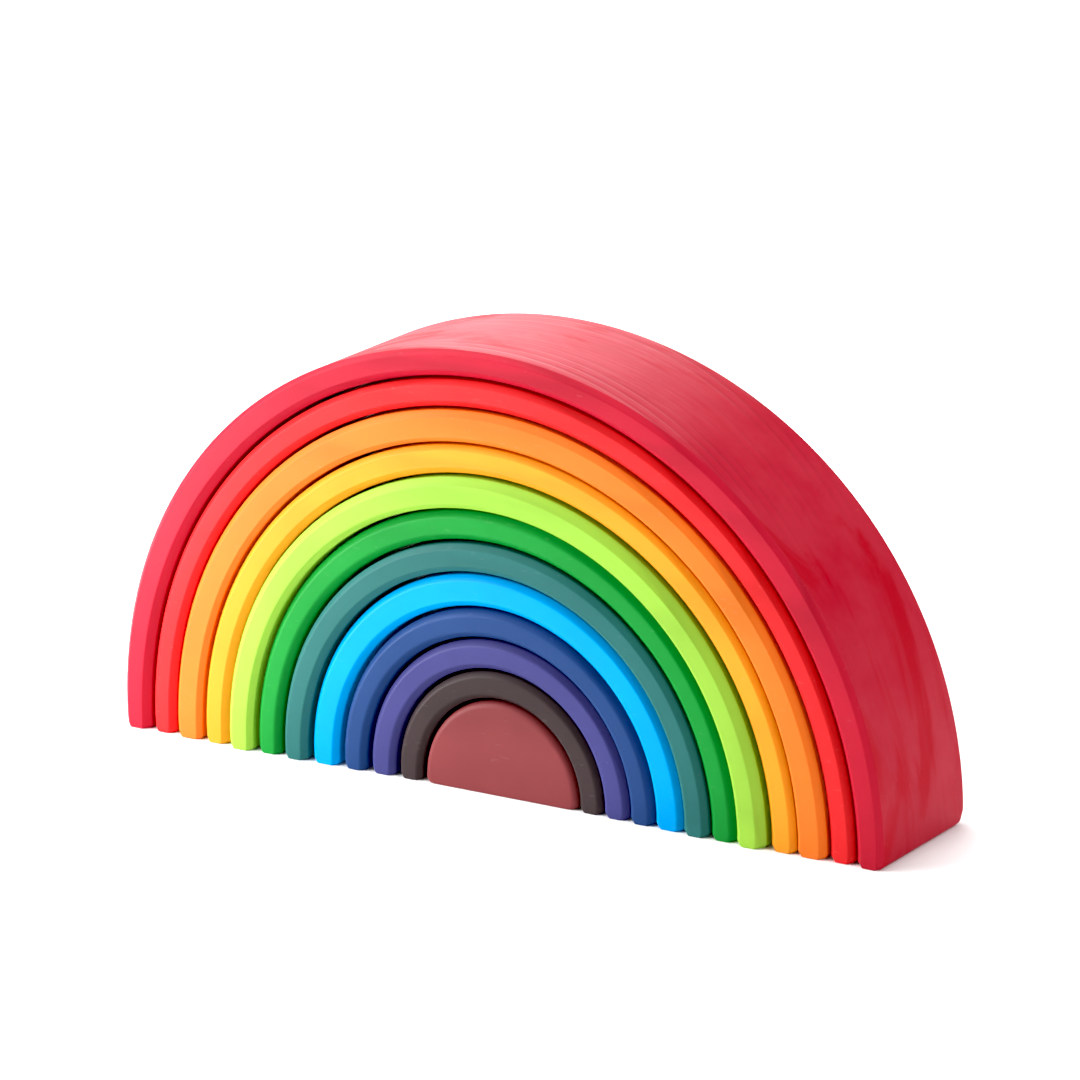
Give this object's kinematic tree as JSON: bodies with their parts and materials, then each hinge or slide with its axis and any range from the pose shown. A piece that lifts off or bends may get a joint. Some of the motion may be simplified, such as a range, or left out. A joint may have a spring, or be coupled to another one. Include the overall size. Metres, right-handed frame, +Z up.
{
  "type": "rainbow stacker",
  "caption": "Wooden rainbow stacking toy: loose stained arches with chamfered edges nest round a solid half-round core and slide out one from the next.",
  "frame": {"origin": "on the floor, under the middle of the outer arch, halfway between its front and its back", "axes": "+X along the row of feet to the right, +Y from the front to the back, +Z up"},
  "size_m": [0.38, 0.0734, 0.1927],
  "materials": {
    "crimson_stain": "satin stain, fine grain",
    "red_stain": "satin stain, fine grain",
    "orange_stain": "satin stain, fine grain",
    "yellow_stain": "satin stain, fine grain",
    "lime_stain": "satin stain, fine grain",
    "green_stain": "satin stain, fine grain",
    "teal_stain": "satin stain, fine grain",
    "sky_blue_stain": "satin stain, fine grain",
    "navy_stain": "satin stain, fine grain",
    "violet_stain": "satin stain, fine grain",
    "brown_stain": "satin stain, fine grain",
    "burgundy_stain": "satin stain, fine grain"
  },
  "bodies": {
    "crimson_arch": {"crimson_arch": "crimson_stain"},
    "red_arch": {"red_arch": "red_stain"},
    "orange_arch": {"orange_arch": "orange_stain"},
    "yellow_arch": {"yellow_arch": "yellow_stain"},
    "lime_arch": {"lime_arch": "lime_stain"},
    "green_arch": {"green_arch": "green_stain"},
    "teal_arch": {"teal_arch": "teal_stain"},
    "sky_blue_arch": {"sky_blue_arch": "sky_blue_stain"},
    "navy_arch": {"navy_arch": "navy_stain"},
    "violet_arch": {"violet_arch": "violet_stain"},
    "brown_arch": {"brown_arch": "brown_stain"},
    "burgundy_core": {"burgundy_core": "burgundy_stain"}
  },
  "joints": [
    {"name": "red_slide", "type": "slide", "parent": "crimson_arch", "child": "red_arch", "axis": [0, -1, 0], "range_m": [-0.0765, 0.0765]},
    {"name": "orange_slide", "type": "slide", "parent": "red_arch", "child": "orange_arch", "axis": [0, -1, 0], "range_m": [-0.0765, 0.0765]},
    {"name": "yellow_slide", "type": "slide", "parent": "orange_arch", "child": "yellow_arch", "axis": [0, -1, 0], "range_m": [-0.0765, 0.0765]},
    {"name": "lime_slide", "type": "slide", "parent": "yellow_arch", "child": "lime_arch", "axis": [0, -1, 0], "range_m": [-0.0765, 0.0765]},
    {"name": "green_slide", "type": "slide", "parent": "lime_arch", "child": "green_arch", "axis": [0, -1, 0], "range_m": [-0.0765, 0.0765]},
    {"name": "teal_slide", "type": "slide", "parent": "green_arch", "child": "teal_arch", "axis": [0, -1, 0], "range_m": [-0.0765, 0.0765]},
    {"name": "sky_blue_slide", "type": "slide", "parent": "teal_arch", "child": "sky_blue_arch", "axis": [0, -1, 0], "range_m": [-0.0765, 0.0765]},
    {"name": "navy_slide", "type": "slide", "parent": "sky_blue_arch", "child": "navy_arch", "axis": [0, -1, 0], "range_m": [-0.0765, 0.0765]},
    {"name": "violet_slide", "type": "slide", "parent": "navy_arch", "child": "violet_arch", "axis": [0, -1, 0], "range_m": [-0.0765, 0.0765]},
    {"name": "brown_slide", "type": "slide", "parent": "violet_arch", "child": "brown_arch", "axis": [0, -1, 0], "range_m": [-0.0765, 0.0765]},
    {"name": "core_slide", "type": "slide", "parent": "brown_arch", "child": "burgundy_core", "axis": [0, -1, 0], "range_m": [-0.0765, 0.0765]}
  ]
}
